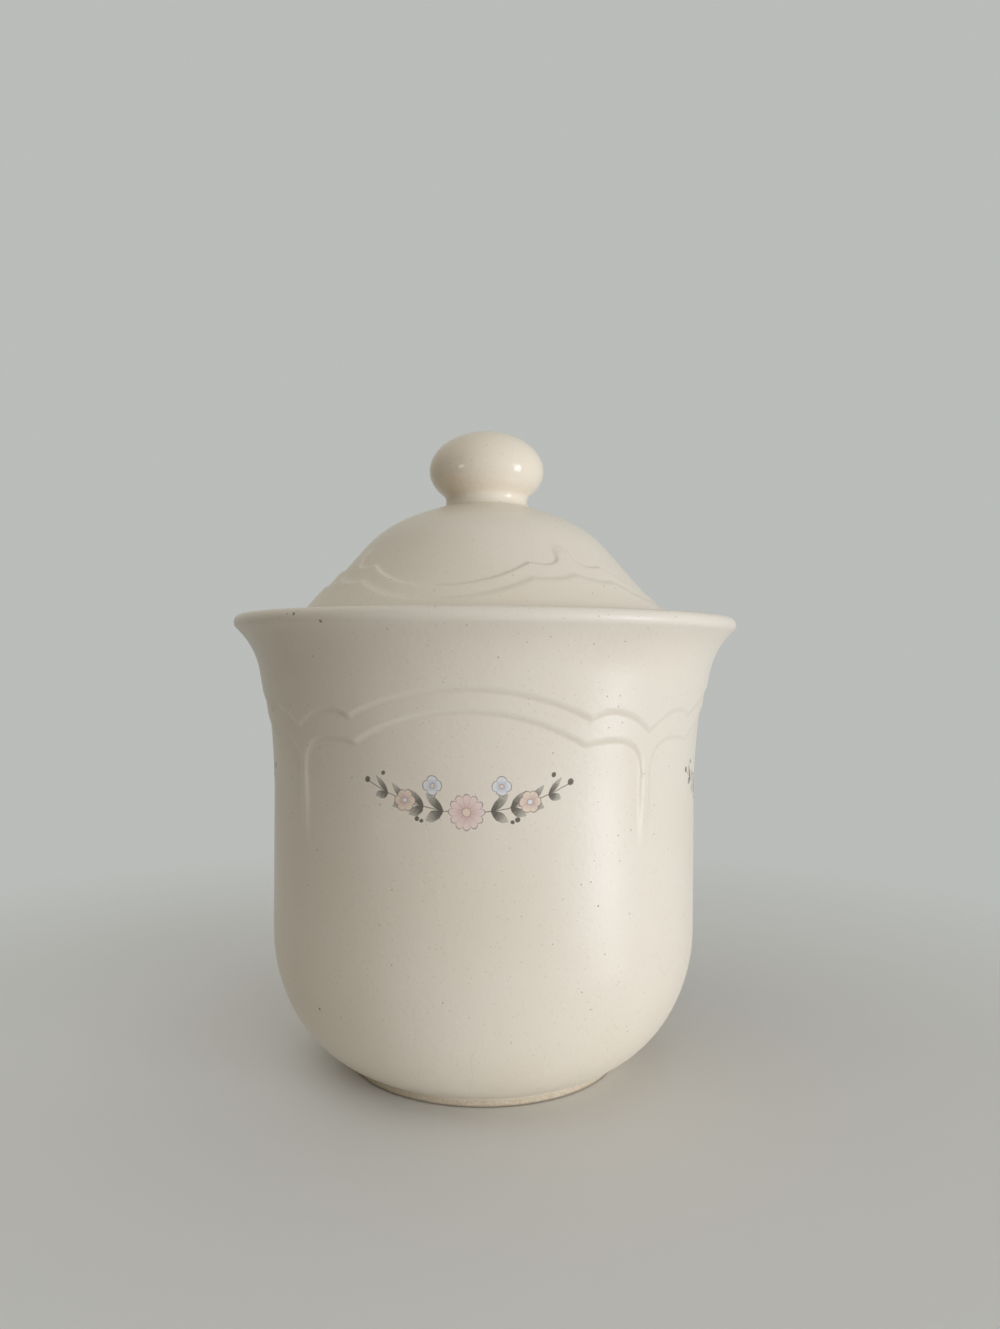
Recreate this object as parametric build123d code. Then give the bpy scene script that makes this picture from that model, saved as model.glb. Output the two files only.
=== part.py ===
from build123d import *
import os
from math import acos, asin, atan2, cos, degrees, radians, sin, sqrt, tan

# Stoneware canister: a jar with a flared mouth, a domed lid with a ball knob, and the lid's seal.
# Millimetres and degrees, +Z up, origin under the middle of the foot ring, a panel faces -Y.

# Jar: overall form
JAR_HEIGHT = 157.7
BODY_DIAMETER = 149.8
WALL = 6.0
RIM_OVERHANG = 14.1
LIP_RADIUS = 2.7
LIP_LEAN = 55.0
LIP_CREASE = 10.0
FLARE_DEPTH = 62.5
FLARE_RADIUS = 242.0

# Jar: bowl-shaped bottom and foot ring
BOWL_REACH = 40.1
BOWL_RISE = 48.6
FOOT_DIAMETER = 95.5
FOOT_HEIGHT = 3.4
FOOT_RING_WIDTH = 5.0
FOOT_STEP = 1.2
BASE_RECESS = 2.5
FLOOR_THICKNESS = 4.8
EDGE_ROUND = 0.8

# Jar: mouth that takes the lid
LEDGE_DEPTH = 15.3
LEDGE_WIDTH = 5.0
LEDGE_LEAN = 14.0
THROAT_DEPTH = 22.0
THROAT_BLEND = 20.0

# Embossed relief: four panels round the jar and the lid, each sunk in two steps
PANELS = 4
STEP = 0.7
STEP_FADE = 0.2
LAYER_ROOT = 1.25
TAIL_ANGLE = 4.0

# Jar relief: depths below the lip, and angles from the middle of a panel
JAR_UPPER_CROWN = 23.5
JAR_UPPER_CUSP = 32.5
JAR_UPPER_CUSP_ANGLE = 27.9
JAR_UPPER_EAR = 30.6
JAR_UPPER_EAR_ANGLE = 35.6
JAR_UPPER_VALLEY = 36.5
JAR_LOWER_CROWN = 30.1
JAR_LOWER_CUSP = 40.2
JAR_LOWER_CUSP_ANGLE = 26.9
JAR_LOWER_EAR = 40.4
JAR_LOWER_EAR_ANGLE = 39.6
JAR_PILLAR_TOP = 50.7
JAR_PILLAR_FOOT = 72.7
JAR_PILLAR_ANGLE = 2.8

# Lid: cover, knob and collar, and how far round the loose lid was set down
LID_PLAY = 0.8
LID_TURN = -10.5
LID_EDGE = 6.9
LID_EDGE_ROUND = 2.5
LID_SLOPE = 49.0
LID_WALL = 5.0
SKIRT_WIDTH = 30.7
CROWN_HEIGHT = 54.2
CROWN_SLOPE = 17.8
CROWN_STEP = 4.6
NECK_DIAMETER = 29.4
NECK_HEIGHT = 3.3
KNOB_DIAMETER = 41.6
KNOB_TUCK = 1.2
KNOB_RISE = 11.3
KNOB_UNDER = 13.5
KNOB_CROWN = 14.2
KNOB_BORE = 15.0
COLLAR_GAP = 1.9
COLLAR_WALL = 5.4
COLLAR_DEPTH = 13.0

# Lid relief: distances in from the lid's edge, and angles from the middle of a panel
LID_OUTER_CROWN = 10.6
LID_OUTER_CUSP = 16.8
LID_OUTER_CUSP_ANGLE = 29.3
LID_OUTER_EAR = 16.7
LID_OUTER_EAR_ANGLE = 37.2
LID_OUTER_VALLEY = 18.2
LID_INNER_CROWN = 15.4
LID_INNER_CUSP = 22.4
LID_INNER_CUSP_ANGLE = 29.5
LID_INNER_EAR = 22.2
LID_INNER_EAR_ANGLE = 38.3
LID_PILLAR_TOP = 25.3
LID_PILLAR_FOOT = 28.8
LID_PILLAR_ANGLE = 6.0

# Seal: a soft ring in a groove of the collar
GROOVE_HEIGHT = 5.0
GROOVE_DEPTH = 2.0
GROOVE_DROP = 4.0
SEAL_FIT = 0.1
SEAL_BAND = 2.4
SEAL_LIP = 0.9
SEAL_LIPS = 2
THROAT_CLEARANCE = 0.25

# Share of the way to the corner at which a quarter ellipse has its control points
QUARTER_PULL = 0.5523

# Jar places worked out from the driving sizes
body_radius = BODY_DIAMETER / 2
inner_radius = body_radius - WALL
foot_radius = FOOT_DIAMETER / 2
rim_radius = body_radius + RIM_OVERHANG
flare_start = JAR_HEIGHT - FLARE_DEPTH
bowl_centre = body_radius - BOWL_REACH
bowl_foot = foot_radius + FOOT_STEP
bowl_turn = acos((bowl_foot - bowl_centre) / BOWL_REACH)
bowl_top = FOOT_HEIGHT + BOWL_RISE * sin(bowl_turn)
floor_height = BASE_RECESS + FLOOR_THICKNESS
ledge_height = JAR_HEIGHT - LEDGE_DEPTH
core_top = ledge_height - (LEDGE_DEPTH - LIP_RADIUS) / 3
half_panel = 180 / PANELS


def flare(height, proud=0.0):
    """Radius of the jar's shoulder at a height, a given distance proud of the panels."""
    rise = max(height - flare_start, 0)
    return body_radius + FLARE_RADIUS - sqrt(FLARE_RADIUS**2 - rise**2) + proud


# Fits of the lid and its seal in the mouth
ledge_radius = flare(ledge_height, 2 * STEP) - WALL
throat_radius = ledge_radius - LEDGE_WIDTH
throat_foot = ledge_height - THROAT_DEPTH
lid_radius = ledge_radius - LID_PLAY
collar_radius = throat_radius - COLLAR_GAP
collar_inside = collar_radius - COLLAR_WALL
collar_foot = ledge_height - COLLAR_DEPTH
groove_top = ledge_height - GROOVE_DROP
groove_foot = groove_top - GROOVE_HEIGHT
groove_radius = collar_radius - GROOVE_DEPTH


def run(*points):
    """Straight edges through the points, in turn."""
    return Polyline(*points) if len(points) > 2 else Line(*points)


def bend(start, start_lean, end, end_lean, pull=0.36):
    """A smooth edge between two points that leaves and arrives at the given angles from +X."""
    start, end = Vector(*start), Vector(*end)
    reach = pull * (end - start).length
    leave = Vector(cos(radians(start_lean)), sin(radians(start_lean))) * reach
    arrive = Vector(cos(radians(end_lean)), sin(radians(end_lean))) * reach
    return Bezier(start, start + leave, end - arrive, end)


def quarter(start, corner, end):
    """A quarter of an ellipse between two points whose tangents meet at the corner."""
    start, corner, end = Vector(*start), Vector(*corner), Vector(*end)
    first, last = (point + (corner - point) * QUARTER_PULL for point in (start, end))
    return Bezier(start, first, last, end)


def turned(*edges, rounded=(), radius=EDGE_ROUND):
    """A solid of revolution about Z from a closed outline in (radius, height), some corners rounded."""
    face = make_face(Curve() + list(edges))
    corners = [face.vertices().sort_by_distance(point)[0] for point in rounded]
    if corners:
        face = fillet(corners, radius)
    return revolve(Plane.XZ * face, Axis.Z)


def around(block):
    """One copy of a block for each panel."""
    return [Rot(Z=360 / PANELS * turn) * block for turn in range(PANELS)]


def panel_face(right_side, crown, place):
    """A panel's outline: a wide arch over the middle, and the right side's stretches on both sides.

    Points are (angle, distance), which place turns into flat ones. A stretch of two points is a
    straight line, and one of three a curve that passes its middle point half-way.
    """
    cusp_angle, cusp = right_side[0][0]
    end_angle, end = right_side[-1][-1]
    left_side = [[(-angle, far) for angle, far in reversed(stretch)] for stretch in reversed(right_side)]
    wide_arch = [(-cusp_angle, cusp), (0, crown), (cusp_angle, cusp)]
    closing = [(end_angle, end), (-end_angle, end)]
    edges = []
    for stretch in left_side + [wide_arch] + right_side + [closing]:
        points = [Vector(*place(angle, far)) for angle, far in stretch]
        if len(points) == 3:
            points[1] = points[1] * 2 - (points[0] + points[2]) / 2
        edges.append(Bezier(*points))
    return make_face(Curve() + edges)


def jar_block(right_side, crown):
    """A wedge with radial walls under a panel outline given in depths below the lip."""
    near = inner_radius * cos(radians(half_panel + TAIL_ANGLE))
    sections = []
    for away in (near, rim_radius):
        face = panel_face(
            right_side, crown, lambda angle, depth: (away * tan(radians(angle)), JAR_HEIGHT - depth)
        )
        sections.append(Plane.XZ.offset(away) * face)
    return loft(sections, ruled=True)


def flare_edge(low, high, proud):
    """The shoulder's outline between two heights."""
    heights = (low, (low + high) / 2, high)
    return ThreePointArc(*[(flare(height, proud), height) for height in heights])


def jar_core():
    """Wall at panel level: foot ring, bowl, straight side and the lower flare."""
    turn = degrees(bowl_turn)
    bowl = EllipticalCenterArc((bowl_centre, bowl_top), BOWL_REACH, BOWL_RISE, -turn, arc_size=turn)
    hollow = EllipticalCenterArc(
        (bowl_centre, bowl_top), BOWL_REACH - WALL, bowl_top - floor_height, -90, arc_size=90
    )
    blend_foot = throat_foot - THROAT_BLEND
    return turned(
        run(
            (0, floor_height),
            (0, BASE_RECESS),
            (foot_radius - FOOT_RING_WIDTH, BASE_RECESS),
            (foot_radius - FOOT_RING_WIDTH, 0),
            (foot_radius, 0),
            (foot_radius, FOOT_HEIGHT),
            (bowl_foot, FOOT_HEIGHT),
        ),
        bowl,
        run((body_radius, bowl_top), (body_radius, flare_start)),
        flare_edge(flare_start, core_top, 0),
        run((flare(core_top), core_top), (throat_radius, core_top), (throat_radius, throat_foot)),
        bend((throat_radius, throat_foot), -90, (inner_radius, blend_foot), -90),
        run((inner_radius, blend_foot), (inner_radius, bowl_top)),
        hollow,
        run((bowl_centre, floor_height), (0, floor_height)),
        rounded=[(foot_radius, 0), (foot_radius - FOOT_RING_WIDTH, 0)],
    )


def jar_shoulder():
    """Shoulder two steps proud, with the flared rim, its round lip and the ledge for the lid."""
    lean = radians(LIP_LEAN)
    lip = Vector(rim_radius - LIP_RADIUS, JAR_HEIGHT - LIP_RADIUS)
    across = Vector(cos(lean), -sin(lean)) * LIP_RADIUS
    along = Vector(sin(lean), cos(lean)) * LIP_RADIUS
    outside, tip, inside = lip + across, lip + along, lip - across
    foot = JAR_HEIGHT - JAR_LOWER_CUSP
    mid_wall = (throat_radius + flare(foot)) / 2
    flare_lean = 90 - degrees(asin((core_top - flare_start) / FLARE_RADIUS))
    ring = turned(
        run((mid_wall, foot), (flare(foot, 2 * STEP), foot)),
        flare_edge(foot, core_top, 2 * STEP),
        bend((flare(core_top, 2 * STEP), core_top), flare_lean, outside, 90 - LIP_LEAN + LIP_CREASE),
        quarter(outside, outside + along, tip),
        quarter(tip, inside + along, inside),
        bend(inside, -90 - LIP_LEAN, (ledge_radius, ledge_height), -90 - LEDGE_LEAN),
        run(
            (ledge_radius, ledge_height),
            (throat_radius, ledge_height),
            (throat_radius, core_top),
            (mid_wall, core_top),
            (mid_wall, foot),
        ),
        rounded=[(throat_radius, ledge_height)],
    )
    valley = (half_panel, JAR_UPPER_VALLEY)
    tail = (half_panel + TAIL_ANGLE, JAR_LOWER_CUSP)
    right_side = [
        [
            (JAR_UPPER_CUSP_ANGLE, JAR_UPPER_CUSP),
            (JAR_UPPER_EAR_ANGLE, JAR_UPPER_EAR),
            valley,
        ],
        [valley, tail],
        [tail, (half_panel + TAIL_ANGLE, JAR_PILLAR_TOP)],
    ]
    return ring - around(jar_block(right_side, JAR_UPPER_CROWN))


def jar_band():
    """Band under the shoulder and pillars between the panels, one step proud, fading at the foot."""
    pillar_top = JAR_HEIGHT - JAR_PILLAR_TOP
    pillar_foot = JAR_HEIGHT - JAR_PILLAR_FOOT
    top = (JAR_HEIGHT - JAR_UPPER_CROWN + core_top) / 2
    deep = body_radius - LAYER_ROOT
    ring = turned(
        run(
            (flare(top, STEP), top),
            (deep, top),
            (deep, pillar_foot),
            (flare(pillar_foot, STEP_FADE), pillar_foot),
            (flare(pillar_top, STEP), pillar_top),
        ),
        flare_edge(pillar_top, top, STEP),
    )
    side = half_panel - JAR_PILLAR_ANGLE / 2
    right_side = [
        [
            (JAR_LOWER_CUSP_ANGLE, JAR_LOWER_CUSP),
            (JAR_LOWER_EAR_ANGLE, JAR_LOWER_EAR),
            (side, JAR_PILLAR_TOP),
        ],
        [(side, JAR_PILLAR_TOP), (side, JAR_PILLAR_FOOT + LAYER_ROOT)],
    ]
    return ring - around(jar_block(right_side, JAR_LOWER_CROWN))


def make_jar():
    return jar_core() + jar_band() + jar_shoulder()


def lid_line(inset, proud):
    """Point of the lid's sloping skirt, inset from its edge and proud of the panels."""
    sunk = (2 * STEP - proud) / cos(radians(LID_SLOPE))
    return (lid_radius - inset, ledge_height + LID_EDGE + inset * tan(radians(LID_SLOPE)) - sunk)


def lid_block(right_side, crown):
    """An upright prism on a panel outline given in distances from the lid's edge."""
    face = panel_face(
        right_side,
        crown,
        lambda angle, inset: (
            (lid_radius - inset) * sin(radians(angle)),
            (inset - lid_radius) * cos(radians(angle)),
        ),
    )
    return Pos(Z=ledge_height) * extrude(face, CROWN_HEIGHT)


def lid_cover():
    """Cover at panel level: knob, neck, dome, skirt, collar with its groove, and the hollow inside."""
    knob_radius = KNOB_DIAMETER / 2
    neck_radius = NECK_DIAMETER / 2
    crown = Vector(neck_radius + CROWN_STEP, ledge_height + CROWN_HEIGHT)
    neck = Vector(neck_radius, crown.Y + NECK_HEIGHT)
    knob_middle = neck.Y + KNOB_RISE
    lid_top = knob_middle + KNOB_CROWN
    tuck = acos((neck_radius + KNOB_TUCK) / knob_radius)
    tuck_lean = degrees(atan2(KNOB_UNDER * cos(tuck), knob_radius * sin(tuck)))
    knob_foot = (neck_radius + KNOB_TUCK, knob_middle - KNOB_UNDER * sin(tuck))
    shoulder = Vector(*lid_line(SKIRT_WIDTH, 0))
    root = lid_radius - collar_radius - LAYER_ROOT
    slope, crown_slope = radians(LID_SLOPE), radians(CROWN_SLOPE)
    inner_shoulder = shoulder - Vector(sin(slope), cos(slope)) * LID_WALL
    inner_crown = crown - Vector(sin(crown_slope), cos(crown_slope)) * LID_WALL
    bore_radius = KNOB_BORE / 2
    bore_end = knob_middle - bore_radius
    return turned(
        quarter((knob_radius, knob_middle), (knob_radius, lid_top), (0, lid_top)),
        EllipticalCenterArc(
            (0, knob_middle), knob_radius, KNOB_UNDER, -degrees(tuck), arc_size=degrees(tuck)
        ),
        bend(knob_foot, 180 + tuck_lean, neck, -90),
        bend(neck, -90, crown, -CROWN_SLOPE, pull=0.5),
        bend(crown, -CROWN_SLOPE, shoulder, -LID_SLOPE),
        run(
            shoulder,
            lid_line(root, 0),
            (lid_radius - root, ledge_height),
            (collar_radius, ledge_height),
            (collar_radius, groove_top),
            (groove_radius, groove_top),
            (groove_radius, groove_foot),
            (collar_radius, groove_foot),
            (collar_radius, collar_foot),
            (collar_inside, collar_foot),
            (collar_inside, lid_line(lid_radius - collar_inside, 0)[1] - LID_WALL / cos(slope)),
            inner_shoulder,
        ),
        bend(inner_shoulder, 180 - LID_SLOPE, inner_crown, 180 - CROWN_SLOPE),
        bend(inner_crown, 180 - CROWN_SLOPE, (bore_radius, neck.Y), 90),
        run((bore_radius, neck.Y), (bore_radius, bore_end)),
        CenterArc((0, bore_end), bore_radius, 0, 90),
        run((0, knob_middle), (0, lid_top)),
        rounded=[(collar_radius, collar_foot), (collar_inside, collar_foot)],
    )


def lid_skirt():
    """Skirt two steps proud, with the rounded edge that rests on the jar's ledge."""
    start = LID_INNER_CUSP
    root = lid_radius - collar_radius - LAYER_ROOT
    outline = run(
        lid_line(start, -LAYER_ROOT),
        lid_line(start, 2 * STEP),
        lid_line(0, 2 * STEP),
        (lid_radius, ledge_height),
        (lid_radius - root, ledge_height),
        lid_line(root, -LAYER_ROOT),
        lid_line(start, -LAYER_ROOT),
    )
    ring = turned(outline, rounded=[lid_line(0, 2 * STEP)], radius=LID_EDGE_ROUND)
    valley = (half_panel, LID_OUTER_VALLEY)
    tail = (half_panel + TAIL_ANGLE, LID_INNER_CUSP)
    right_side = [
        [
            (LID_OUTER_CUSP_ANGLE, LID_OUTER_CUSP),
            (LID_OUTER_EAR_ANGLE, LID_OUTER_EAR),
            valley,
        ],
        [valley, tail],
        [tail, (half_panel + TAIL_ANGLE, SKIRT_WIDTH)],
    ]
    return ring - around(lid_block(right_side, LID_OUTER_CROWN))


def lid_band():
    """Band and pillars one step proud, fading towards the dome."""
    end = (LID_OUTER_CROWN + lid_radius - collar_radius) / 2
    ring = turned(
        run(
            lid_line(LID_PILLAR_FOOT, -LAYER_ROOT),
            lid_line(LID_PILLAR_FOOT, STEP_FADE),
            lid_line(LID_PILLAR_TOP, STEP),
            lid_line(end, STEP),
            lid_line(end, -LAYER_ROOT),
            lid_line(LID_PILLAR_FOOT, -LAYER_ROOT),
        )
    )
    side = half_panel - LID_PILLAR_ANGLE / 2
    right_side = [
        [
            (LID_INNER_CUSP_ANGLE, LID_INNER_CUSP),
            (LID_INNER_EAR_ANGLE, LID_INNER_EAR),
            (side, LID_PILLAR_TOP),
        ],
        [(side, LID_PILLAR_TOP), (side, SKIRT_WIDTH)],
    ]
    return ring - around(lid_block(right_side, LID_INNER_CROWN))


def make_lid():
    return Rot(Z=LID_TURN) * (lid_cover() + lid_band() + lid_skirt())


def make_seal():
    """A flat band in the groove, with thin lips that reach towards the throat."""
    low, high = groove_foot + SEAL_FIT, groove_top - SEAL_FIT
    inside = groove_radius + SEAL_FIT
    outside = inside + SEAL_BAND
    middle = (inside + outside) / 2
    tip = throat_radius - THROAT_CLEARANCE
    pitch = (high - low) / SEAL_LIPS
    ring = turned(run((inside, low), (outside, low), (outside, high), (inside, high), (inside, low)))
    for lip in range(SEAL_LIPS):
        foot = low + pitch * lip + (pitch - SEAL_LIP) / 2
        top = foot + SEAL_LIP
        ring += turned(
            run((middle, foot), (outside, foot), (tip, top), (tip, top + SEAL_LIP / 2), (outside, top)),
            run((outside, top), (middle, top), (middle, foot)),
        )
    return ring


os.makedirs("parts", exist_ok=True)
for name, make in (("jar", make_jar), ("lid", make_lid), ("lid_seal", make_seal)):
    export_step(make(), f"parts/{name}.step")
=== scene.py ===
from math import acos, atan2, cos, degrees, hypot, pi, radians, sin, sqrt, tan

import bmesh
import bpy
from mathutils import Matrix, Vector, geometry
from mathutils.kdtree import KDTree


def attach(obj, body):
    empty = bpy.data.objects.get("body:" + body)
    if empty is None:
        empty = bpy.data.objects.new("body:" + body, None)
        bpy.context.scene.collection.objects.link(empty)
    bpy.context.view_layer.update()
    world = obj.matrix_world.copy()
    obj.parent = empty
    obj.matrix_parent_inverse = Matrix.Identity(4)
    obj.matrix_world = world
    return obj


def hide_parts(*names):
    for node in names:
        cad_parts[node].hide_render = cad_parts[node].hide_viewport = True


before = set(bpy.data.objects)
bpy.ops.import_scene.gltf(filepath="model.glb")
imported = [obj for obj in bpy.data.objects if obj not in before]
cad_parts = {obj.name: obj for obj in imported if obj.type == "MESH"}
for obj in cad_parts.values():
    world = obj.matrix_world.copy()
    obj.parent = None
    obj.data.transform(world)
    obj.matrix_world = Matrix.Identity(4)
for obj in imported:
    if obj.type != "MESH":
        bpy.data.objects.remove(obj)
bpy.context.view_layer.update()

# Jar outline. The jar is one piece of cast stoneware: a foot ring, a round bowl, a straight side,
# and a flared mouth that ends in a thick round lip. Inside the mouth a ledge carries the lid.
# Outlines are in millimetres and degrees, and each finished mesh is brought to metres.
FOOT_RADIUS = 47.75
FOOT_INSIDE = 42.75
FOOT_ROUND = 0.8
FOOT_HEIGHT = 2.4
RECESS = 2.5
RECESS_ROUND = 1.2
BODY_RADIUS = 74.9
BOWL_LEVEL = 48.88
BOWL_REACH = 40.1
BOWL_RISE = 48.6
BOWL_FOOT = (48.95, 3.4)
BOWL_FOOT_LEAN = 24.6
BOWL_FIRST = -69.34
FLARE_START = 95.2
FLARE_RADIUS = 242.0
STEP = 0.7
RELIEF_START = 84.0
RELIEF_ROWS = 66
SHOULDER = 138.2
SHOULDER_LEAN = 79.8
LIP_RADIUS = 86.3
LIP_LEVEL = 155.0
LIP_ROUND = 2.7
LIP_LEAN = 45
LIP_FIRST = -55
LIP_LAST = 125
MOUTH_FOOT = (75.12, 143.1)
MOUTH_LEAN = -104
LEDGE_LEVEL = 142.4
LEDGE_OUTSIDE = 74.35
LEDGE_ROUND = 0.8
THROAT_RADIUS = 69.95
THROAT_FOOT = 120.4
INSIDE_RADIUS = 68.9
INSIDE_TOP = 100.4
INSIDE_FLOOR = 7.3
CORNER_PULL = 0.39
COLUMNS = 540
SEAM = 0.0005


def bend(start, leave, end, arrive, rows, pull=0.36):
    """Points after the start of a curve that leaves and arrives at the given angles from level."""
    start, end = Vector(start), Vector(end)
    reach = pull * (end - start).length
    first = start + reach * Vector((cos(radians(leave)), sin(radians(leave))))
    last = end - reach * Vector((cos(radians(arrive)), sin(radians(arrive))))
    points = geometry.interpolate_bezier(start, first, last, end, rows + 1)
    return [tuple(point) for point in points[1:]]


def around(middle, reach, rise, angle):
    """The point of a circle or an ellipse at an angle from level."""
    turn = radians(angle)
    return middle[0] + reach * cos(turn), middle[1] + rise * sin(turn)


def arc(middle, reach, rise, first, last, rows):
    """Points after the start of an arc of a circle or an ellipse, between two angles from level."""
    angles = [first + (last - first) * row / rows for row in range(1, rows + 1)]
    return [around(middle, reach, rise, angle) for angle in angles]


def straight(start, end, rows):
    """Points after the start of a straight line."""
    return [tuple(Vector(start).lerp(Vector(end), row / rows)) for row in range(1, rows + 1)]


def flare(height):
    """Radius of the jar's panels at a height."""
    rise = max(height - FLARE_START, 0)
    return BODY_RADIUS + FLARE_RADIUS - sqrt(FLARE_RADIUS**2 - rise**2)


def spin_quarter(outline):
    """A quarter of a body of revolution, from the front to the right, on (radius, height) points."""
    mesh = bmesh.new()
    points = [mesh.verts.new((0, -radius, height)) for radius, height in outline]
    edges = [mesh.edges.new(pair) for pair in zip(points, points[1:])]
    bmesh.ops.spin(
        mesh, geom=points + edges, cent=(0, 0, 0), axis=(0, 0, 1), angle=pi / 2, steps=COLUMNS // 4
    )
    return mesh


def turn_round(mesh, verts, angle):
    """Turns some vertices about the axis."""
    matrix = Matrix.Rotation(radians(angle), 3, "Z")
    bmesh.ops.rotate(mesh, verts=verts, cent=(0, 0, 0), matrix=matrix)


def copy_round(mesh, turn=0.0):
    """Copies the quarter three times round the axis, closes seams and poles, and turns it all."""
    quarter = mesh.verts[:] + mesh.edges[:] + mesh.faces[:]
    for number in (1, 2, 3):
        copy = bmesh.ops.duplicate(mesh, geom=quarter)["geom"]
        verts = [part for part in copy if isinstance(part, bmesh.types.BMVert)]
        turn_round(mesh, verts, 90 * number)
    bmesh.ops.remove_doubles(mesh, verts=mesh.verts, dist=SEAM)
    bmesh.ops.recalc_face_normals(mesh, faces=mesh.faces)
    turn_round(mesh, mesh.verts, turn)


recess_edge = (FOOT_INSIDE - RECESS_ROUND, RECESS)
recess_foot = (FOOT_INSIDE, RECESS - RECESS_ROUND)
foot_inner_round = (FOOT_INSIDE + FOOT_ROUND, FOOT_ROUND)
foot_outer_round = (FOOT_RADIUS - FOOT_ROUND, FOOT_ROUND)
foot_top = (FOOT_RADIUS, FOOT_HEIGHT)
bowl_middle = (BODY_RADIUS - BOWL_REACH, BOWL_LEVEL)
relief_rise = (SHOULDER - RELIEF_START) / RELIEF_ROWS
relief_heights = [RELIEF_START + relief_rise * row for row in range(1, RELIEF_ROWS + 1)]
band_foot = (flare(SHOULDER) + 2 * STEP, SHOULDER)
lip_middle = (LIP_RADIUS, LIP_LEVEL)
lip_under = around(lip_middle, LIP_ROUND, LIP_ROUND, LIP_FIRST)
lip_over = around(lip_middle, LIP_ROUND, LIP_ROUND, LIP_LAST)
ledge_corner = (LEDGE_OUTSIDE, LEDGE_LEVEL)
ledge_edge = (THROAT_RADIUS + LEDGE_ROUND, LEDGE_LEVEL)
ledge_round = (THROAT_RADIUS + LEDGE_ROUND, LEDGE_LEVEL - LEDGE_ROUND)
throat_top = (THROAT_RADIUS, LEDGE_LEVEL - LEDGE_ROUND)
throat_foot = (THROAT_RADIUS, THROAT_FOOT)
inside_top = (INSIDE_RADIUS, INSIDE_TOP)
inside_reach = INSIDE_RADIUS - bowl_middle[0]
inside_rise = BOWL_LEVEL - INSIDE_FLOOR

jar_outline = [(0, RECESS)]
jar_outline += straight((0, RECESS), recess_edge, 4)
jar_outline += bend(recess_edge, 0, recess_foot, -90, 3, CORNER_PULL)
jar_outline += arc(foot_inner_round, FOOT_ROUND, FOOT_ROUND, 180, 270, 4)
jar_outline += arc(foot_outer_round, FOOT_ROUND, FOOT_ROUND, 270, 360, 4)
jar_outline += [foot_top]
jar_outline += bend(foot_top, 90, BOWL_FOOT, BOWL_FOOT_LEAN, 4, CORNER_PULL)
jar_outline += arc(bowl_middle, BOWL_REACH, BOWL_RISE, BOWL_FIRST, 0, 22)
jar_outline += straight((BODY_RADIUS, BOWL_LEVEL), (BODY_RADIUS, RELIEF_START), 5)
jar_outline += [(flare(height), height) for height in relief_heights]
jar_outline += bend(band_foot, SHOULDER_LEAN, lip_under, LIP_LEAN, 11)
jar_outline += arc(lip_middle, LIP_ROUND, LIP_ROUND, LIP_FIRST, LIP_LAST, 12)
jar_outline += bend(lip_over, LIP_LAST + 90, MOUTH_FOOT, MOUTH_LEAN, 8)
jar_outline += bend(MOUTH_FOOT, MOUTH_LEAN, ledge_corner, 180, 3, CORNER_PULL)
jar_outline += straight(ledge_corner, ledge_edge, 2)
jar_outline += arc(ledge_round, -LEDGE_ROUND, LEDGE_ROUND, 90, 0, 3)
jar_outline += straight(throat_top, throat_foot, 2)
jar_outline += bend(throat_foot, -90, inside_top, -90, 5)
jar_outline += straight(inside_top, (INSIDE_RADIUS, BOWL_LEVEL), 2)
jar_outline += arc(bowl_middle, inside_reach, inside_rise, 0, -90, 16)
jar_outline += straight((bowl_middle[0], INSIDE_FLOOR), (0, INSIDE_FLOOR), 4)
jar_mesh = spin_quarter(jar_outline)

# Jar relief. Four panels are sunk into the shoulder in two soft steps, pressed in with the jar:
# each step follows a wide arch with a small ear at both ends, and narrow pillars part the panels.
# A line of the relief is given by angles from a panel's middle and by heights.
PANEL = 90.0
SOFTNESS = 1.25
CROWDING = 0.5
ROW_SHARES = (0, 0.28, 0.47, 0.58, 0.77, 1)
ROWS_NEAR = 1.9
ROUNDING = 0.001
LINE_POINTS = 700
UPPER_ARCH = ((0, 134.2), (27.9, 125.2))
UPPER_EAR = ((27.9, 125.2), (35.6, 127.1), (45.0, 121.2))
LOWER_ARCH = ((0, 127.6), (26.9, 117.5))
LOWER_EAR = ((26.9, 117.5), (39.6, 117.3), (43.6, 107.0))
PILLAR_SIDE = 43.6
PILLAR_FADE = (85.0, 107.0)
PILLAR_END = 80.0
PILLAR_POINTS = 180
MARKS = ("step_edge", "step_foot")
MARK_AWAY = 0.6
MARK_WIDTH = 0.9
LIP_WEAR_AND_HIGHLIGHT = 1.5


def portion(value, low, high):
    """How far a value is on its way from low to high, held between 0 and 1."""
    return min(max((value - low) / (high - low), 0), 1)


def swell(way):
    """A soft S from 0 to 1."""
    return way * way * (3 - 2 * way)


def step_up(distance, soft=SOFTNESS):
    """Share of a step's rise at a distance from its line, a soft S across the line."""
    return swell(portion(distance, -soft, soft))


def arch(angle, crown, cusp):
    """How far up the wide arch is at an angle from the panel's middle."""
    return crown[1] + (cusp[1] - crown[1]) * (angle / cusp[0]) ** 2


def ear(angle, start, middle, end):
    """How far up the ear is: a curve from its start to its end that passes its middle half-way."""
    corner = [2 * m - (s + e) / 2 for s, m, e in zip(start, middle, end)]
    square = start[0] - 2 * corner[0] + end[0]
    slant = 2 * (corner[0] - start[0])
    root = max(slant**2 - 4 * square * (start[0] - angle), 0)
    way = (sqrt(root) - slant) / (2 * square)
    return start[1] * (1 - way) ** 2 + 2 * corner[1] * way * (1 - way) + end[1] * way**2


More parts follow.
